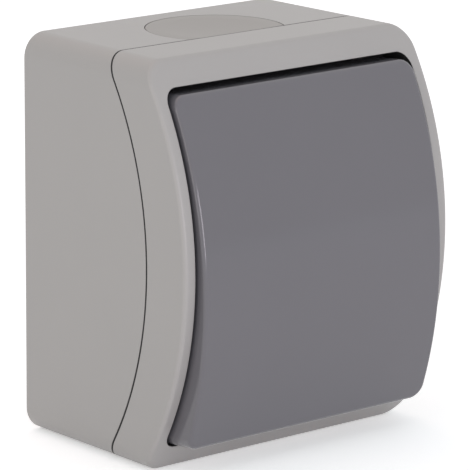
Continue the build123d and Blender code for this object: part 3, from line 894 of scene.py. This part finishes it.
brass = metal("contact_brass", screen_colour(214, 176, 104), (0.22, 0.4), (1, 1, 12))
silver = metal("contact_silver", screen_colour(226, 224, 220), (0.15, 0.3), (6, 1, 6))
zinc = metal("zinc_steel", screen_colour(196, 199, 202), (0.2, 0.38), (4, 1, 4))

# %% [markdown]
# ## Giving every piece its finish
# The record lists the finish of each node. The new pieces and the CAD nodes that stay take their
# material by that name.

# %% Assign the materials
finishes = {
    "housing_grey": housing_grey,
    "entry_soft_grey": entry_grey,
    "rocker_dark_grey": rocker_grey,
    "gasket_dark": gasket_dark_and_painted_shade,
    "mechanism_white": mechanism_white,
    "cradle_grey": cradle_grey,
    "plunger_natural": plunger_natural,
    "contact_brass": brass,
    "contact_silver": silver,
    "zinc_steel": zinc,
}


def dress(piece, material):
    """Give a piece one material."""
    piece.data.materials.clear()
    piece.data.materials.append(material)


for part in frame["record"]["subparts"]:
    dress(frame["nodes"][part["node"]], finishes[part["material_slot"]])
for piece, node, body, slot in stand_for:
    dress(piece, finishes[slot])
print("Dressed", len(frame["nodes"]), "CAD nodes and", len(stand_for), "new pieces")

# %% [markdown]
# The gap round the rocker is black with deep shade, darker than a light grey wall renders there. So the
# shade is painted: the walls of the opening and the front of the web behind the rocker get the dark
# gasket material, and the rest of the cover stays light.

# %% Paint shade into the opening
# How far round the opening and how deep behind the frame the painted shade reaches.
painted_shade_reach = 0.9 * MM
painted_shade_depth = 2 * MM
wall_tilt = 0.3


def gets_painted_gap_shade(face):
    """True for a wall of the opening and for the front of the web behind the rocker, which get the painted
    shade.
    """
    place = face.calc_center_median()
    beside = abs(place.x) > opening_width / 2 + painted_shade_reach
    above = abs(place.z) > opening_height / 2 + painted_shade_reach
    behind = -place.y < web_rear - rise(web_radius, abs(place.z))
    if beside or above or behind:
        return False
    inwards = face.normal.x * place.x + face.normal.z * place.z < 0
    wall = inwards and abs(face.normal.y) < wall_tilt
    frame_front = front_mid - rise(front_radius, abs(place.z))
    return wall or (faces_room(face) and -place.y < frame_front - painted_shade_depth)


# Painted shade: the dark gasket material goes on these faces to stand for the deep shade in the gap.
only(cover)
bpy.ops.object.material_slot_add()
cover.material_slots[1].material = gasket_dark_and_painted_shade
pick_faces(cover, gets_painted_gap_shade)
bpy.ops.object.material_slot_assign()
leave_edit()
# Counts the faces that carry the painted shade.
print("Lined faces", sum(face.material_index for face in cover.data.polygons))

# %% [markdown]
# ## Stage and light
# The switch stands on a plain white floor in a white studio. White for the eye and white in
# reflections are made apart from the light on the object: the Light Path node tells camera,
# reflected and transmitted rays from the rest, and only those see the sky as white and the floor a
# little lifted. The floor is still lit as any surface is, so it keeps the soft shadow of the switch.

# %% Build the stage
floor_size = 4.0
floor_lift = 0.4
sky_glow = (0.672, 0.708, 0.726, 1)


def seen_rays(tree):
    """Output that is 1 for camera, reflected and transmitted rays and 0 for the rest."""
    path = tree.nodes.new("ShaderNodeLightPath")
    first = tree.nodes.new("ShaderNodeMath")
    second = tree.nodes.new("ShaderNodeMath")
    first.operation = second.operation = "MAXIMUM"
    tree.links.new(path.outputs["Is Camera Ray"], first.inputs[0])
    tree.links.new(path.outputs["Is Glossy Ray"], first.inputs[1])
    tree.links.new(first.outputs["Value"], second.inputs[0])
    tree.links.new(path.outputs["Is Transmission Ray"], second.inputs[1])
    return second.outputs["Value"]


bpy.ops.object.select_all(action="DESELECT")
bpy.ops.mesh.primitive_plane_add(size=floor_size, location=(0, 0, cad_low.z))
floor = bpy.context.object
floor.name = "floor"
floor_paint = bpy.data.materials.new("floor_white")
floor_paint.use_nodes = True
paint = floor_paint.node_tree
floor_shader = paint.nodes["Principled BSDF"]
floor_shader.inputs["Base Color"].default_value = (0.93, 0.93, 0.93, 1)
floor_shader.inputs["Roughness"].default_value = 0.9
floor_shader.inputs["Specular IOR Level"].default_value = 0.1
lift = paint.nodes.new("ShaderNodeMath")
lift.operation = "MULTIPLY"
lift.inputs[1].default_value = floor_lift
glow = paint.nodes.new("ShaderNodeEmission")
both = paint.nodes.new("ShaderNodeAddShader")
paint.links.new(seen_rays(paint), lift.inputs[0])
paint.links.new(lift.outputs["Value"], glow.inputs["Strength"])
paint.links.new(floor_shader.outputs["BSDF"], both.inputs[0])
paint.links.new(glow.outputs["Emission"], both.inputs[1])
paint.links.new(both.outputs["Shader"], paint.nodes["Material Output"].inputs["Surface"])
dress(floor, floor_paint)
floor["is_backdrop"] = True

world = bpy.data.worlds.new("studio")
bpy.context.scene.world = world
world.use_nodes = True
sky = world.node_tree
sky_colour = sky.nodes.new("ShaderNodeMix")
sky_colour.data_type = "RGBA"
sky_colour.inputs["A"].default_value = sky_glow
sky_colour.inputs["B"].default_value = (1, 1, 1, 1)
sky.links.new(seen_rays(sky), sky_colour.inputs["Factor"])
sky.links.new(sky_colour.outputs["Result"], sky.nodes["Background"].inputs["Color"])
print("Floor", floor_size, "m wide at", round(cad_low.z / MM, 2), "mm")

# %% [markdown]
# ## The lights
# The white studio gives most of the light, and three soft panels do the rest. A large warm one hangs
# above and a little behind. A low one stands in front and lights the lower half of the arch, which
# leans towards the floor. A tall narrow one stands on the left and draws the bright line on the left
# edges of the cover and the rocker.

# %% Hang the lights
def soft_panel(name, place, width, height, power):
    """Rectangular light that faces the middle of the object, with its power in red, green and blue."""
    bpy.ops.object.select_all(action="DESELECT")
    middle = (cad_low + cad_high) / 2
    aim = (Vector(place) - middle).to_track_quat("Z", "Y").to_euler()
    bpy.ops.object.light_add(type="AREA", location=place, rotation=aim)
    lamp = bpy.context.object
    lamp.name = name
    lamp.data.shape = "RECTANGLE"
    lamp.data.size = width
    lamp.data.size_y = height
    lamp.data.energy = max(power)
    lamp.data.color = [part / max(power) for part in power]
    print(name, "at", place, "with", round(lamp.data.energy, 2), "W")
    return lamp


soft_panel("top_panel", (0.0, 0.35, 0.85), 0.8, 0.8, (0.92, 0.44, 0.28))
soft_panel("left_panel", (-0.95, -0.15, 0.30), 0.25, 0.70, (1.15, 1.02, 0.93))
soft_panel("front_panel", (-0.15, -1.05, 0.115), 0.5, 0.31, (2.74, 2.54, 2.75))
bpy.context.scene.view_settings.view_transform = "Standard"

# %% [markdown]
# ## The end
# The box of the finished model is written beside that of the CAD model. They have to agree, because
# the looks never change a size.

# %% Write the sizes and finish
low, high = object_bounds()
print("Visual box in mm:", [round(v * 1000, 2) for v in (*low, *high)])
